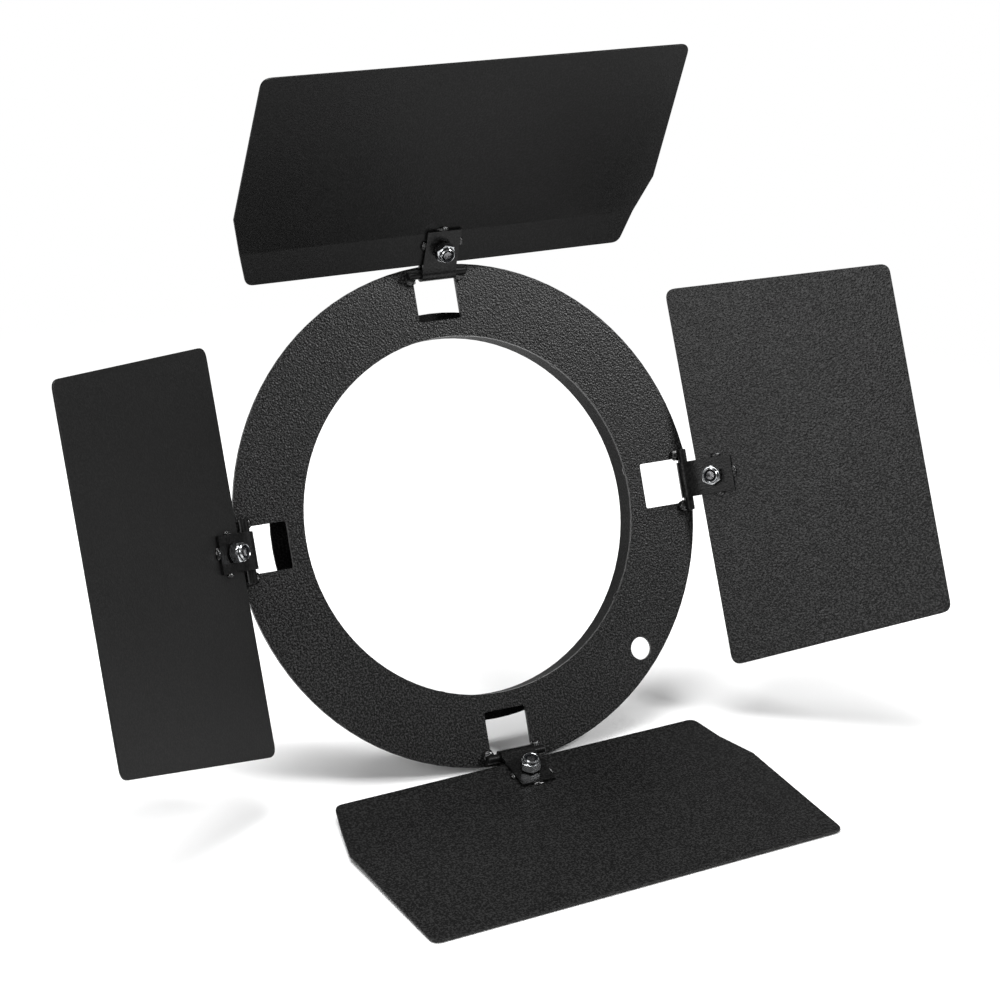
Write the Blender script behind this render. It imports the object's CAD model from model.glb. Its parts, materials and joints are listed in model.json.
"""Looks of the barn door attachment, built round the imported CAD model.

Metres, in the row frame: the optical axis is Y, the doors are on the -Y side
and +Z points at the top door. The photographed object stands on the free edge
of its bottom door and on the ring's rim, so the floor is tilted in this frame.
"""

import json
import math

import bmesh
import bpy
from mathutils import Matrix, Vector, noise


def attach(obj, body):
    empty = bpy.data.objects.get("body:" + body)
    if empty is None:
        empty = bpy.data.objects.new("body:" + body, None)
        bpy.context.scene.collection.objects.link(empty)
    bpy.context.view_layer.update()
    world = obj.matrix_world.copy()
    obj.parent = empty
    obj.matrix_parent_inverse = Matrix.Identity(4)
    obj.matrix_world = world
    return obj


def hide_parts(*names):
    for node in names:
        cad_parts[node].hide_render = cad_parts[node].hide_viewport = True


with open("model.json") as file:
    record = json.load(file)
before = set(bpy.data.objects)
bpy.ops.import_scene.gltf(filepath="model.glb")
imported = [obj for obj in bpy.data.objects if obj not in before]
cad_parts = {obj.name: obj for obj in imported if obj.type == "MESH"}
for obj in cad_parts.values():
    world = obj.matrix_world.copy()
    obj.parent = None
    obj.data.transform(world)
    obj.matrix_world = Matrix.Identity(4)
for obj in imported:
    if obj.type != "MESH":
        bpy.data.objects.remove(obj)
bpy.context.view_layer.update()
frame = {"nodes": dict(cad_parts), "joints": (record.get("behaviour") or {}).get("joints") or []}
MM = 0.001

# ----------------------------------------------------------------- dimensions
# Metres, but the lengths inside SIDE, WIDE, NUT, SCREW and SOCKET are in
# millimetres. Distances along a door are from the hinge rod's axis.
DOORS = {
    "top": {"outward": (0, 0, 1), "open": 139.8, "skew": 0.2, "wide": True},
    "right": {"outward": (1, 0, 0), "open": 136.9, "skew": 1.0, "wide": False},
    "bottom": {"outward": (0, 0, -1), "open": 124.9, "skew": 2.3, "wide": True},
    "left": {"outward": (-1, 0, 0), "open": 145.4, "skew": 0.9, "wide": False},
}
FRONT = Vector((0, -1, 0))

SHEET = 1.0 * MM                     # doors
STRAP_SHEET = 1.3 * MM
BLADE_FACE = -0.5 * MM               # the door's inner face, from the rod's axis
SCREW_AT = 11.4 * MM                 # clamp screw, from the rod's axis
SIDE = {"near": 5.3, "far": 93.8, "near_half": 76.4, "far_half": 68.3}
WIDE = {"near": 4.4, "fold": 18.4, "fold_deg": 8.2, "kink": 34.7, "far": 95.5,
        "near_half": 79.0, "kink_half": 87.4, "far_half": 85.4}
CORNER = 4.0                         # mm, corner radius of the doors
STRAP_HALF = 7.1 * MM
STRAP_END = 19.4 * MM
ROD_RADIUS = 1.75 * MM
ROD_HALF = 12.3 * MM
PLATE_THICK = 1.5 * MM
COLLAR_INNER = 69.7 * MM
NUT = {"flats": 7.0, "hex": 3.1, "tall": 4.8, "crown": 3.1, "ring": 2.55, "hole": 2.1}
SCREW = {"radius": 2.0, "head": 4.0, "head_tall": 2.4, "pitch": 0.7, "depth": 0.32, "sunk": 0.5}
GAP = 0.3 * MM                       # left between clamped pieces
NUT_SEAT = BLADE_FACE - GAP - STRAP_SHEET - GAP
HEAD_SEAT = BLADE_FACE + SHEET + GAP + STRAP_SHEET + GAP
SCREW_TIP = NUT_SEAT - NUT["tall"] * MM + SCREW["sunk"] * MM
SOCKET = {"flats": 2.5, "deep": 1.4, "edge": 0.12}

JOINTS = {joint["name"]: joint for joint in frame["joints"]}
NUMBER = {name: index for index, name in enumerate(DOORS)}
ROUND = 96                           # steps in a circle


def hinge_centre(name):
    """Middle of the door's hinge rod."""
    return Vector(JOINTS[f"{name}_door_hinge"]["pos_m"])


def door_matrix(name, open_deg=None):
    """Door space: x along the rod, y away from it along the door, z out of the outer face."""
    door = DOORS[name]
    outward = Vector(door["outward"])
    angle = math.radians(door["open"] if open_deg is None else open_deg)
    along = -outward * math.cos(angle) + FRONT * math.sin(angle)
    face = FRONT * math.cos(angle) + outward * math.sin(angle)
    hinge = along.cross(face)
    matrix = Matrix((hinge, along, face)).transposed().to_4x4()
    matrix.translation = hinge_centre(name)
    return matrix


# ------------------------------------------------------------------ materials
def new_material(name):
    material = bpy.data.materials.new(name)
    material.use_nodes = True
    nodes = material.node_tree.nodes
    shader = next(n for n in nodes if n.type == "BSDF_PRINCIPLED")
    return material, nodes, material.node_tree.links, shader


def add_noise(nodes, links, coord, scale, detail=2.0, rough=0.5):
    node = nodes.new("ShaderNodeTexNoise")
    node.inputs["Scale"].default_value = scale
    node.inputs["Detail"].default_value = detail
    node.inputs["Roughness"].default_value = rough
    links.new(coord, node.inputs["Vector"])
    return node.outputs["Fac"]


def add_ramp(nodes, links, value, low, high, dark, light):
    """Maps value from low..high to the colours dark..light."""
    node = nodes.new("ShaderNodeValToRGB")
    node.color_ramp.elements[0].position = low
    node.color_ramp.elements[1].position = high
    node.color_ramp.elements[0].color = (*dark, 1)
    node.color_ramp.elements[1].color = (*light, 1)
    links.new(value, node.inputs["Fac"])
    return node.outputs["Color"]


def add_range(nodes, links, value, low, high):
    """Maps value from 0..1 to low..high."""
    node = nodes.new("ShaderNodeMapRange")
    node.inputs["To Min"].default_value = low
    node.inputs["To Max"].default_value = high
    links.new(value, node.inputs["Value"])
    return node.outputs["Result"]


def add_bump(nodes, links, height, distance, strength, normal=None):
    node = nodes.new("ShaderNodeBump")
    node.inputs["Distance"].default_value = distance
    node.inputs["Strength"].default_value = strength
    links.new(height, node.inputs["Height"])
    if normal is not None:
        links.new(normal, node.inputs["Normal"])
    return node.outputs["Normal"]


def powder_coat(name, grain=1.0, rough=(0.28, 0.4), sheen=0.24, speckle=0.028, shade=0.001):
    """Black powder coat: pebbles about 0.7 mm across and paler specks over a slow orange peel.

    grain scales the relief, rough is the range of roughness, sheen the strength
    of the reflection, speckle the grey of the palest specks and shade that between them.
    """
    material, nodes, links, shader = new_material(name)
    coord = nodes.new("ShaderNodeTexCoord").outputs["Object"]
    pebble = nodes.new("ShaderNodeTexVoronoi")
    pebble.feature = "SMOOTH_F1"
    pebble.inputs["Scale"].default_value = 1450
    pebble.inputs["Smoothness"].default_value = 0.5
    links.new(coord, pebble.inputs["Vector"])
    speck = add_noise(nodes, links, coord, 1350, 2.0, 0.6)
    peel = add_noise(nodes, links, coord, 210, 2.0)
    cloud = add_noise(nodes, links, coord, 26, 3.0)
    colour = add_ramp(nodes, links, speck, 0.47, 0.59, (shade, shade, shade), (speckle, speckle, speckle))
    links.new(colour, shader.inputs["Base Color"])
    links.new(add_range(nodes, links, cloud, *rough), shader.inputs["Roughness"])
    normal = add_bump(nodes, links, peel, 0.10 * MM, 0.06)
    normal = add_bump(nodes, links, pebble.outputs["Distance"], 0.20 * MM, 0.6 * grain, normal)
    normal = add_bump(nodes, links, speck, 0.10 * MM, 0.6 * grain, normal)
    links.new(normal, shader.inputs["Normal"])
    shader.inputs["Specular IOR Level"].default_value = sheen
    return material


def metal(name, dark, light, rough, scratch=0.25, spot=420):
    """Bare or plated metal with fine tool marks; spot sets how fine its uneven colour is."""
    material, nodes, links, shader = new_material(name)
    coord = nodes.new("ShaderNodeTexCoord").outputs["Object"]
    cloud = add_noise(nodes, links, coord, spot, 4.0)
    marks = add_noise(nodes, links, coord, 2600, 2.0)
    links.new(add_ramp(nodes, links, cloud, 0.3, 0.7, dark, light), shader.inputs["Base Color"])
    links.new(add_range(nodes, links, marks, *rough), shader.inputs["Roughness"])
    links.new(add_bump(nodes, links, marks, 0.02 * MM, scratch), shader.inputs["Normal"])
    shader.inputs["Metallic"].default_value = 1.0
    return material


def nylon_material(name):
    material, nodes, links, shader = new_material(name)
    coord = nodes.new("ShaderNodeTexCoord").outputs["Object"]
    cloud = add_noise(nodes, links, coord, 900, 3.0)
    links.new(add_ramp(nodes, links, cloud, 0.3, 0.7, (0.004, 0.004, 0.005), (0.010, 0.011, 0.013)),
              shader.inputs["Base Color"])
    links.new(add_range(nodes, links, cloud, 0.35, 0.5), shader.inputs["Roughness"])
    links.new(add_bump(nodes, links, cloud, 0.02 * MM, 0.3), shader.inputs["Normal"])
    shader.inputs["Specular IOR Level"].default_value = 0.12
    return material


FLOOR_RADIUS = 6.0
FLOOR_GAP = 0.2 * MM                 # between the floor and what stands on it
FADE_START, FADE_END = 0.22, 0.55    # distances from the object


def floor_material(name):
    """White table top that fades into the white backdrop away from the object.

    It is clear from below, so that a door lowered through it can still be seen.
    """
    material, nodes, links, shader = new_material(name)
    coord = nodes.new("ShaderNodeTexCoord").outputs["Object"]
    cloud = add_noise(nodes, links, coord, 3.0, 2.0)
    links.new(add_ramp(nodes, links, cloud, 0.3, 0.7, (0.90, 0.90, 0.90), (0.92, 0.92, 0.92)),
              shader.inputs["Base Color"])
    shader.inputs["Roughness"].default_value = 0.9
    shader.inputs["Specular IOR Level"].default_value = 0.1
    away = nodes.new("ShaderNodeVectorMath")
    away.operation = "LENGTH"
    links.new(coord, away.inputs[0])
    fade = nodes.new("ShaderNodeMapRange")
    fade.interpolation_type = "SMOOTHSTEP"
    fade.inputs["From Min"].default_value = FADE_START
    fade.inputs["From Max"].default_value = FADE_END
    links.new(away.outputs["Value"], fade.inputs["Value"])
    glow = nodes.new("ShaderNodeEmission")
    glow.inputs["Strength"].default_value = 1.0
    seen = nodes.new("ShaderNodeLightPath").outputs["Is Camera Ray"]
    shown = nodes.new("ShaderNodeMath")
    shown.operation = "MULTIPLY"
    links.new(fade.outputs["Result"], shown.inputs[0])
    links.new(seen, shown.inputs[1])
    mix = nodes.new("ShaderNodeMixShader")
    links.new(shown.outputs["Value"], mix.inputs["Fac"])
    links.new(shader.outputs["BSDF"], mix.inputs[1])
    links.new(glow.outputs["Emission"], mix.inputs[2])
    below = nodes.new("ShaderNodeNewGeometry").outputs["Backfacing"]
    clear = nodes.new("ShaderNodeBsdfTransparent")
    side = nodes.new("ShaderNodeMixShader")
    links.new(below, side.inputs["Fac"])
    links.new(mix.outputs["Shader"], side.inputs[1])
    links.new(clear.outputs["BSDF"], side.inputs[2])
    output = next(n for n in nodes if n.type == "OUTPUT_MATERIAL")
    links.new(side.outputs["Shader"], output.inputs["Surface"])
    return material


COAT = powder_coat("black_powder_coat")
THIN_COAT = powder_coat("thin_black_powder_coat", grain=0.25, sheen=0.14, speckle=0.007, shade=0.003)
FINE_COAT = powder_coat("fine_black_powder_coat", grain=0.3, sheen=0.15, speckle=0.018, shade=0.003)
SATIN_COAT = powder_coat("satin_black_powder_coat", grain=0.2, sheen=0.17, speckle=0.0135, shade=0.0095)
STRAP_COAT = powder_coat("strap_coat", grain=0.4, rough=(0.24, 0.36), sheen=0.2, speckle=0.008)
WELD = powder_coat("coated_weld", grain=0.3, rough=(0.14, 0.26), sheen=0.6, speckle=0.01)
COLLAR_COAT = powder_coat("collar_coat", grain=0.3, rough=(0.45, 0.6), sheen=0.06, speckle=0.010)
ZINC = metal("zinc_plate", (0.34, 0.35, 0.36), (0.58, 0.59, 0.60), (0.10, 0.2))
BLACK_STEEL = metal("black_oxide_steel", (0.012, 0.012, 0.013), (0.30, 0.30, 0.31), (0.18, 0.34), 0.8, 1300)
NYLON = nylon_material("nylon")
DOOR_COATS = {"top": THIN_COAT, "right": COAT, "bottom": FINE_COAT, "left": SATIN_COAT}


# ----------------------------------------------------------------- mesh tools
def add_object(name, mesh, material, body, replaced=(), bevel=0.0, segments=2, smooth_deg=35):
    """Makes one piece from a mesh in the row frame and rides it on its body."""
    piece = bpy.data.objects.new(name, mesh)
    bpy.context.scene.collection.objects.link(piece)
    mesh.materials.clear()
    mesh.materials.append(material)
    for polygon in mesh.polygons:
        polygon.use_smooth = True
    mesh.set_sharp_from_angle(angle=math.radians(smooth_deg))
    if bevel:
        modifier = piece.modifiers.new("edges", "BEVEL")
        modifier.width = bevel
        modifier.segments = segments
        modifier.limit_method = "ANGLE"
        modifier.angle_limit = math.radians(smooth_deg)
        modifier.harden_normals = True
    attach(piece, body)
    if replaced:
        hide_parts(*replaced)


def finish_mesh(bm, name, matrix=None):
    """Turns the bmesh into a mesh with its normals outwards, moved by matrix."""
    if matrix is not None:
        bmesh.ops.transform(bm, matrix=matrix, verts=bm.verts)
    bmesh.ops.recalc_face_normals(bm, faces=bm.faces)
    mesh = bpy.data.meshes.new(name)
    bm.to_mesh(mesh)
    bm.free()
    return mesh


def mesh_of_node(node):
    """The CAD node's shape as clean polygons."""
    bm = bmesh.new()
    bm.from_mesh(frame["nodes"][node].data)
    bmesh.ops.remove_doubles(bm, verts=bm.verts, dist=1e-6)
    bmesh.ops.dissolve_limit(bm, angle_limit=math.radians(0.6), verts=bm.verts, edges=bm.edges)
    return finish_mesh(bm, f"{node}_mesh")


def circle(bm, radius, z, steps=ROUND):
    """A ring of vertices about the z axis."""
    return [bm.verts.new((radius * math.cos(a), radius * math.sin(a), z))
            for a in (2 * math.pi * i / steps for i in range(steps))]


def bridge(bm, ring_a, ring_b):
    """Joins two rings of the same count, or a ring and a ring of one vertex."""
    n = max(len(ring_a), len(ring_b))
    for i in range(n):
        j = (i + 1) % n
        corners = [ring_a[i % len(ring_a)], ring_a[j % len(ring_a)]]
        corners += [ring_b[j % len(ring_b)], ring_b[i % len(ring_b)]]
        bm.faces.new(list(dict.fromkeys(corners)))


def bridge_all(bm, rings, closed=False, capped=False):
    """Joins each ring to the next, and the last to the first if closed, or caps both ends."""
    for a, b in zip(rings, rings[1:] + rings[:1] if closed else rings[1:]):
        bridge(bm, a, b)
    if capped:
        bm.faces.new(rings[0][::-1])
        bm.faces.new(rings[-1])


def rounded_outline(points, steps=6):
    """Points [x, y, radius] as an outline with rounded corners."""
    outline = []
    for i, (x, y, radius) in enumerate(points):
        here = Vector((x, y))
        if not radius:
            outline.append(here)
            continue
        before = (Vector(points[i - 1][:2]) - here).normalized()
        after = (Vector(points[(i + 1) % len(points)][:2]) - here).normalized()
        cut = radius / math.tan(before.angle(after) / 2)
        start, end = here + before * cut, here + after * cut
        for k in range(steps + 1):
            t = k / steps
            outline.append(start * (1 - t) ** 2 + here * (2 * t * (1 - t)) + end * t ** 2)
    return outline


# ---------------------------------------------------------------------- doors
BEND_RADIUS = 2.5 * MM               # inside radius of the fold in the wide doors
GRID = 7.0 * MM
GRID_LINES = 14
WAVE = 0.16 * MM                     # how far the thin sheet is out of flat
WAVE_LENGTH = 45 * MM
WAVE_START = 30 * MM                 # from the strap, over which the waves grow to full height


def fold_point(point):
    """Bends a flat wide door about its fold, towards the beam."""
    fold = WIDE["fold"] * MM
    angle = math.radians(WIDE["fold_deg"])
    outer = BLADE_FACE + SHEET
    radius = BEND_RADIUS + SHEET
    half = radius * angle / 2
    past = point.y - (fold - half)
    if past <= 0:
        return point
    turned = min(past / radius, angle)
    rest = max(past - 2 * half, 0)
    deep = outer - point.z
    y = fold - half + radius * math.sin(turned) + rest * math.cos(turned) - deep * math.sin(turned)
    z = outer - radius * (1 - math.cos(turned)) - rest * math.sin(turned) - deep * math.cos(turned)
    return Vector((point.x, y, z))


def make_door(name):
    """The door's sheet: flat by its strap, slightly wavy elsewhere, folded if it is a wide one."""
    door = DOORS[name]
    size = WIDE if door["wide"] else SIDE
    near, far = size["near"], size["far"]
    points = [(-size["near_half"], near, CORNER), (size["near_half"], near, CORNER)]
    if door["wide"]:
        points.append((size["kink_half"], size["kink"], 0))
    points += [(size["far_half"], far, CORNER), (-size["far_half"], far, CORNER)]
    if door["wide"]:
        points.append((-size["kink_half"], size["kink"], 0))
    bm = bmesh.new()
    bm.faces.new([bm.verts.new((p.x * MM, p.y * MM, 0)) for p in rounded_outline(points)])
    cuts = [((i * GRID, 0, 0), (1, 0, 0)) for i in range(1 - GRID_LINES, GRID_LINES)]
    cuts += [((0, i * GRID, 0), (0, 1, 0)) for i in range(1, GRID_LINES)]
    if door["wide"]:
        fold = size["fold"] * MM
        cuts += [((0, fold + k * 0.1 * MM, 0), (0, 1, 0)) for k in range(-3, 4)]
    for place, normal in cuts:
        everything = bm.verts[:] + bm.edges[:] + bm.faces[:]
        bmesh.ops.bisect_plane(bm, geom=everything, plane_co=place, plane_no=normal, dist=1e-7)
    seed = Vector((3.7, 1.3, 5.1)) * (1 + NUMBER[name])
    for vert in bm.verts:
        far_from_strap = max(abs(vert.co.x) - STRAP_HALF, vert.co.y - STRAP_END) / WAVE_START
        amount = WAVE * min(max(far_from_strap, 0), 1)
        vert.co.z = amount * (noise.noise(vert.co / WAVE_LENGTH + seed) - 0.35)
    bmesh.ops.solidify(bm, geom=bm.faces[:], thickness=SHEET)
    heights = [v.co.z for v in bm.verts if abs(v.co.x) < STRAP_HALF and v.co.y < STRAP_END]
    lift = BLADE_FACE - min(heights)
    for vert in bm.verts:
        vert.co.z += lift
        if door["wide"]:
            vert.co = fold_point(vert.co)
    pivot = Matrix.Translation((0, SCREW_AT, 0))
    skew = pivot @ Matrix.Rotation(-math.radians(door["skew"]), 4, "Z") @ pivot.inverted()
    mesh = finish_mesh(bm, f"{name}_door_sheet", door_matrix(name) @ skew)
    add_object(f"{name}_door_sheet", mesh, DOOR_COATS[name], f"{name}_leaf",
               [f"{name}_door"], bevel=0.28 * MM, segments=3, smooth_deg=40)


# --------------------------------------------------------------------- hinges
def weld_bead(name, place, size, matrix, body, seed):
    """A lumpy run of weld metal under the coat; size is half its length, width and height."""
    bm = bmesh.new()
    bmesh.ops.create_icosphere(bm, subdivisions=4, radius=1.0)
    for vert in bm.verts:
        ripple = 0.16 * noise.noise(vert.co * 1.9 + Vector((seed, 2.1, 0.7)))
        ripple += 0.07 * math.sin(9 * vert.co.x + seed) * (1 - abs(vert.co.x))
        vert.co *= 1 + ripple
        vert.co = Vector((vert.co.x * size[0], vert.co.y * size[1], vert.co.z * size[2])) + Vector(place)
    mesh = finish_mesh(bm, name, matrix)
    add_object(name, mesh, WELD, body, smooth_deg=80)


def make_rod(name):
    """The plain rod with chamfered ends, and a bead at each end on the ring centre's side."""
    matrix = door_matrix(name, 0)
    chamfer = 0.35 * MM
    bm = bmesh.new()
    profile = [(ROD_RADIUS - chamfer, -ROD_HALF), (ROD_RADIUS, -ROD_HALF + chamfer),
               (ROD_RADIUS, ROD_HALF - chamfer), (ROD_RADIUS - chamfer, ROD_HALF)]
    rings = [circle(bm, radius, z, 48) for radius, z in profile]
    ends = [[bm.verts.new((0, 0, z))] for z in (-ROD_HALF, ROD_HALF)]
    bridge_all(bm, [ends[0], *rings, ends[1]])
    mesh = finish_mesh(bm, f"{name}_rod_bar", matrix @ Matrix.Rotation(math.pi / 2, 4, "Y"))
    add_object(f"{name}_rod_bar", mesh, THIN_COAT, "frame", [f"{name}_hinge_rod"])
    face = hinge_centre(name).y + PLATE_THICK          # the plate's face, seen from the rod
    for side, seed in ((-1, 1.0), (1, 4.0)):
        place = (side * (ROD_HALF - 2.0 * MM), 1.6 * MM, face + 0.5 * MM)
        end = "a" if side < 0 else "b"
        size = (2.3 * MM, 2.2 * MM, 1.9 * MM)
        weld_bead(f"{name}_rod_weld_{end}", place, size, matrix, "frame", seed + NUMBER[name])


def make_strap(name):
    """The rolled strip, and three tacks that hold each tail to the door."""
    mesh = mesh_of_node(f"{name}_strap")
    body = f"{name}_leaf"
    add_object(f"{name}_strap_strip", mesh, STRAP_COAT, body, [f"{name}_strap"],
               bevel=0.18 * MM, segments=2, smooth_deg=30)
    matrix = door_matrix(name)
    inner = BLADE_FACE - GAP
    outer = BLADE_FACE + SHEET + GAP
    shift = 0.35 * MM * NUMBER[name]
    for face, height in (("inner", inner), ("outer", outer)):
        weld_bead(f"{name}_tack_{face}_end", (0.6 * MM - shift, STRAP_END + 0.5 * MM, height),
                  (2.4 * MM, 1.0 * MM, 1.0 * MM), matrix, body, 2.0 + shift)
        for side in (-1, 1):
            end = "a" if side < 0 else "b"
            turned = Matrix.Rotation(math.pi / 2, 4, "Z")
            spot = Vector((side * (STRAP_HALF + 0.5 * MM), 13.2 * MM + side * shift, height))
            weld_bead(f"{name}_tack_{face}_{end}", turned.inverted() @ spot, (2.0 * MM, 1.1 * MM, 1.0 * MM),
                      matrix @ turned, body, 6.0 + side)


def hex_radius(flats, angle):
    """Distance from the centre of a hexagon to its outline at an angle."""
    local = (angle + math.pi / 6) % (math.pi / 3) - math.pi / 6
    return flats / 2 / math.cos(local)


def hexagon(bm, flats, high, chamfer_radius):
    """Rings of a hexagonal prism from z = 0 to z = high, its corners turned down at both ends."""
    slope = math.tan(math.radians(30))
    angles = [2 * math.pi * i / ROUND for i in range(ROUND)]
    rings = []
    for level, at_end in ((0, True), (0, False), (high, False), (high, True)):
        ring = []
        for angle in angles:
            radius = hex_radius(flats, angle)
            z = level
            if at_end:
                radius = min(radius, chamfer_radius)
            else:
                z += (1 if level == 0 else -1) * max(radius - chamfer_radius, 0) * slope
            ring.append(bm.verts.new((radius * math.cos(angle), radius * math.sin(angle), z)))
        rings.append(ring)
    return rings


def make_nut(name):
    """Self-locking nut: chamfered hexagon, round crown rolled over a nylon ring."""
    place = door_matrix(name) @ Matrix.Translation((0, SCREW_AT, NUT_SEAT)) @ Matrix.Rotation(math.pi, 4, "X")
    place = place @ Matrix.Rotation(math.radians(11 + 17 * NUMBER[name]), 4, "Z")
    tall, crown, hole = NUT["tall"] * MM, NUT["crown"] * MM, NUT["hole"] * MM
    ring_radius = NUT["ring"] * MM
    bm = bmesh.new()
    flats = NUT["flats"] * MM
    waist = NUT["hex"] * MM
    rings = hexagon(bm, flats, waist, flats * 0.497)
    rings.insert(0, circle(bm, hole, 0))
    for radius, z in ((crown + 0.12 * MM, waist + 0.02 * MM), (crown, waist + 0.2 * MM),
                      (crown, tall - 0.75 * MM), (crown - 0.1 * MM, tall - 0.4 * MM),
                      (crown - 0.3 * MM, tall - 0.12 * MM),
                      (ring_radius + 0.12 * MM, tall), (ring_radius, tall - 0.06 * MM),
                      (ring_radius, tall - 0.3 * MM), (ring_radius + 0.25 * MM, tall - 0.35 * MM),
                      (ring_radius + 0.25 * MM, waist), (hole, waist)):
        rings.append(circle(bm, radius, z))
    bridge_all(bm, rings, closed=True)
    mesh = finish_mesh(bm, f"{name}_lock_nut", place)
    add_object(f"{name}_lock_nut", mesh, ZINC, f"{name}_leaf", [f"{name}_nut"],
               smooth_deg=28)

    bm = bmesh.new()
    outer, inner = ring_radius + 0.2 * MM, SCREW["radius"] * MM
    low, high = waist + 0.05 * MM, tall - 0.4 * MM
    rings = [circle(bm, r, z) for r, z in (
        (outer, low), (outer, high), (ring_radius - 0.1 * MM, high + 0.12 * MM),
        (inner + 0.25 * MM, high + 0.1 * MM), (inner + 0.05 * MM, high - 0.1 * MM), (inner + 0.05 * MM, low))]
    bridge_all(bm, rings, closed=True)
    mesh = finish_mesh(bm, f"{name}_locking_ring", place)
    add_object(f"{name}_locking_ring", mesh, NYLON, f"{name}_leaf", [f"{name}_nut_insert"],
               smooth_deg=50)


def make_screw(name):
    """Button-head screw: cut thread down to the tip, hexagon socket in the head."""
    place = door_matrix(name) @ Matrix.Translation((0, SCREW_AT, 0))
    radius, depth, pitch = SCREW["radius"] * MM, SCREW["depth"] * MM, SCREW["pitch"] * MM
    steps, per_turn = 36, 8
    length = HEAD_SEAT - SCREW_TIP
    rows = int(length / pitch * per_turn)
    bm = bmesh.new()
    rings = []
    for row in range(rows + 1):
        from_tip = length * row / rows
        taper = max(0, 0.35 * MM - from_tip)
        ring = []
        for i in range(steps):
            phase = (from_tip / pitch + i / steps) % 1
            groove = depth * (1 - abs(2 * phase - 1)) * min(1, from_tip / pitch + 0.3)
            r = radius - groove - taper
            angle = 2 * math.pi * i / steps
            ring.append(bm.verts.new((r * math.cos(angle), r * math.sin(angle), SCREW_TIP + from_tip)))
        rings.append(ring)
    bridge_all(bm, rings, capped=True)
    mesh = finish_mesh(bm, f"{name}_screw_shank", place)
    add_object(f"{name}_screw_shank", mesh, BLACK_STEEL, f"{name}_leaf", [f"{name}_screw"],
               smooth_deg=50)

    head, tall = SCREW["head"] * MM, SCREW["head_tall"] * MM
    flats, edge = SOCKET["flats"] * MM, SOCKET["edge"] * MM
    bm = bmesh.new()
    rings = [circle(bm, head - 0.15 * MM, 0), circle(bm, head, 0.15 * MM)]
    for t in (math.radians(8 + 9 * k) for k in range(8)):
        radius = 0.45 * head + 0.55 * head * math.cos(t)
        rings.append(circle(bm, radius, 0.3 * MM + (tall - 0.3 * MM) * math.sin(t)))
    socket_corner = flats / 2 / math.cos(math.pi / 6)
    rings.append(circle(bm, socket_corner + 0.5 * MM, tall))
    for z, scale in ((tall, 1.08), (tall - edge, 1.0), (tall - SOCKET["deep"] * MM, 1.0)):
        ring = []
        for i in range(ROUND):
            angle = 2 * math.pi * i / ROUND
            r = hex_radius(flats, angle) * scale
            ring.append(bm.verts.new((r * math.cos(angle), r * math.sin(angle), z)))
        rings.append(ring)
    bridge_all(bm, rings, capped=True)
    mesh = finish_mesh(bm, f"{name}_screw_head", place @ Matrix.Translation((0, 0, HEAD_SEAT)))
    add_object(f"{name}_screw_head", mesh, BLACK_STEEL, f"{name}_leaf", smooth_deg=30)


# ----------------------------------------------------------------------- ring
def make_ring():
    """The plate and the collar behind it, tacked together."""
    mesh = mesh_of_node("mounting_plate")
    add_object("mounting_plate_sheet", mesh, COAT, "frame", ["mounting_plate"],
               bevel=0.22 * MM, segments=2, smooth_deg=30)
    mesh = mesh_of_node("collar")
    add_object("collar_ring", mesh, COLLAR_COAT, "frame", ["collar"],
               bevel=0.2 * MM, segments=2, smooth_deg=30)
    # Tacks in the corner between the plate's rear face and the collar.
    for index, degrees in enumerate(range(6, 366, 40)):
        angle = math.radians(degrees + 4 * math.sin(2.3 * index))
        outward = Vector((math.cos(angle), 0, math.sin(angle)))
        tangent = Vector((-math.sin(angle), 0, math.cos(angle)))
        matrix = Matrix((tangent, outward, Vector((0, 1, 0)))).transposed().to_4x4()
        matrix.translation = outward * (COLLAR_INNER - 0.1 * MM)
        size = (1.7 * MM, 0.35 * MM, 0.6 * MM)
        weld_bead(f"collar_tack_{index}", (0, 0, 0.1 * MM), size, matrix, "frame", float(index))


make_ring()
for door_name in DOORS:
    make_rod(door_name)
    make_strap(door_name)
    make_door(door_name)
    make_nut(door_name)
    make_screw(door_name)


# -------------------------------------------------------------- floor, camera
def frame_points(*nodes):
    """Every corner of the CAD nodes, in the row frame."""
    return [v.co.copy() for n in nodes for v in frame["nodes"][n].data.vertices]


def floor_plane():
    """Point and normal of the floor, which meets the bottom door's free corners and the ring's rim."""
    free = sorted(frame_points("bottom_door"), key=lambda p: p.y)
    left = min((p for p in free if p.x < 0), key=lambda p: p.y + p.z)
    right = min((p for p in free if p.x > 0), key=lambda p: p.y + p.z)
    along = (right - left).normalized()
    best = None
    for point in frame_points("mounting_plate", "collar", "right_door", "left_door"):
        offset = point - left
        across = (offset - along * offset.dot(along)).normalized()
        if best is None or across.z < best.z:
            best = across
    normal = along.cross(best).normalized()
    return left, normal if normal.z > 0 else -normal


floor_point, floor_normal = floor_plane()
bm = bmesh.new()
bmesh.ops.create_circle(bm, cap_ends=True, segments=ROUND, radius=FLOOR_RADIUS)
turn = Vector((0, 0, 1)).rotation_difference(floor_normal).to_matrix().to_4x4()
ground = Matrix.Translation(floor_point - floor_normal * FLOOR_GAP) @ turn
floor_mesh = finish_mesh(bm, "floor", ground)
floor = bpy.data.objects.new("floor", floor_mesh)
floor_mesh.materials.append(floor_material("pale_floor"))
bpy.context.scene.collection.objects.link(floor)

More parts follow.
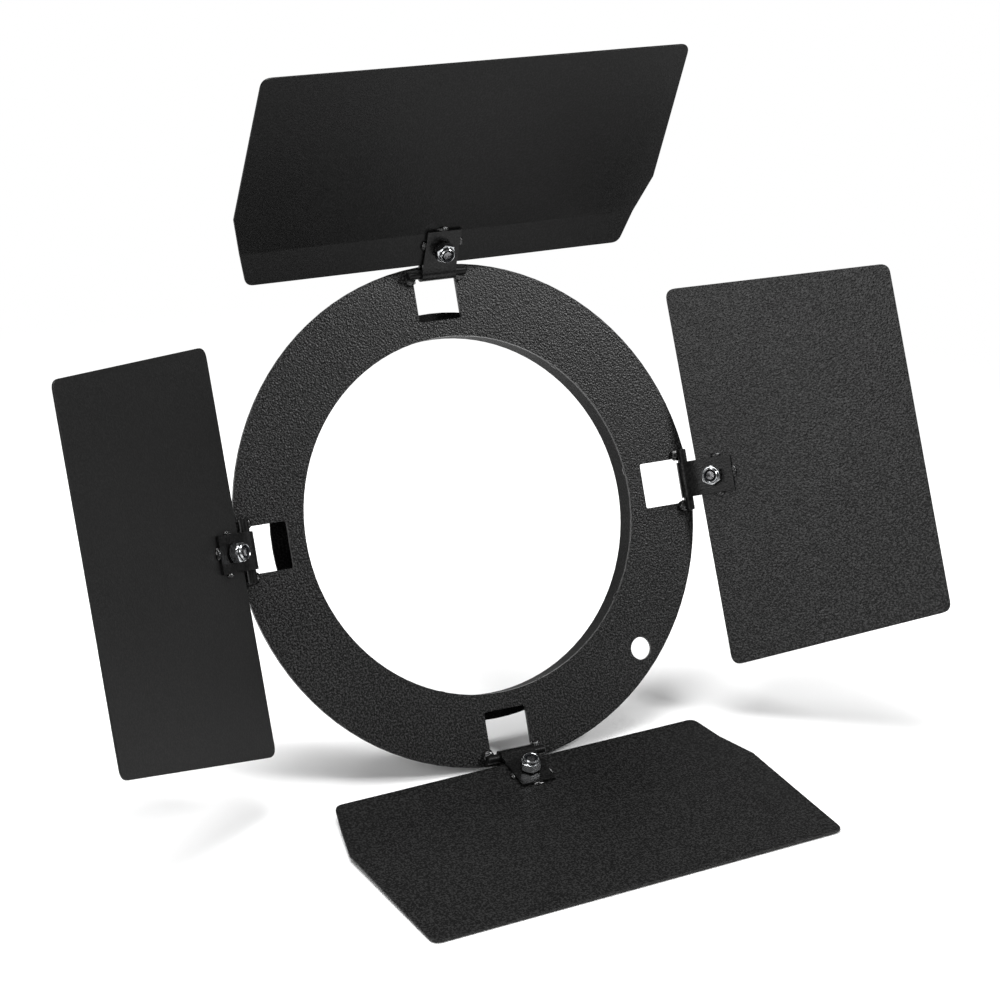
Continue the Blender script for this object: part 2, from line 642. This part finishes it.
CAMERA_PLACE = Vector((-0.3800, -0.8185, -0.0019))
VIEW_AZIMUTH = -23.08                # degrees, 0 looks along +Y
VIEW_ELEVATION = 0.21
VIEW_ROLL = 9.35
LENS = 83.98                         # mm on a 36 mm sensor
SHIFT = (0.10, 0.04)


def add_camera():
    a, e = math.radians(VIEW_AZIMUTH), math.radians(VIEW_ELEVATION)
    back = Vector((math.sin(a) * math.cos(e), -math.cos(a) * math.cos(e), math.sin(e)))
    data = bpy.data.cameras.new("camera")
    data.lens = LENS
    data.sensor_width = 36
    data.shift_x, data.shift_y = SHIFT
    camera = bpy.data.objects.new("camera", data)
    turn = (-back).to_track_quat("-Z", "Y").to_matrix().to_4x4()
    roll = Matrix.Rotation(-math.radians(VIEW_ROLL), 4, "Z")
    camera.matrix_world = Matrix.Translation(CAMERA_PLACE) @ turn @ roll
    bpy.context.scene.collection.objects.link(camera)
    bpy.context.scene.camera = camera


add_camera()


def area_light(name, place, size, power):
    """A square softbox aimed at the object."""
    data = bpy.data.lights.new(name, "AREA")
    data.shape = "SQUARE"
    data.size = size
    data.energy = power
    light = bpy.data.objects.new(name, data)
    light.location = place
    light.rotation_mode = "QUATERNION"
    light.rotation_quaternion = (-Vector(place)).to_track_quat("-Z", "Y")
    light.visible_camera = False
    bpy.context.scene.collection.objects.link(light)


# The ring mirrors the right softbox at its upper right, the right door mirrors
# the left one, and the overhead one lights the table.
area_light("key_right", (0.90, -1.12, 0.55), 0.4, 14.0)
area_light("key_left", (-1.17, -0.92, 0.38), 0.7, 8.2)
area_light("overhead", floor_normal * 1.5 + Vector((-0.15, 0.2, 0)), 0.9, 30)

world = bpy.data.worlds.new("studio")
bpy.context.scene.world = world
world.use_nodes = True
nodes, links = world.node_tree.nodes, world.node_tree.links
backdrop = nodes["Background"]
backdrop.inputs["Color"].default_value = (1, 1, 1, 1)
seen = nodes.new("ShaderNodeLightPath").outputs["Is Camera Ray"]
level = nodes.new("ShaderNodeMapRange")
level.inputs["To Min"].default_value = 0.2
level.inputs["To Max"].default_value = 1.0
links.new(seen, level.inputs["Value"])
links.new(level.outputs["Result"], backdrop.inputs["Strength"])

bpy.context.scene.view_settings.view_transform = "Standard"
bpy.context.scene.view_settings.look = "None"
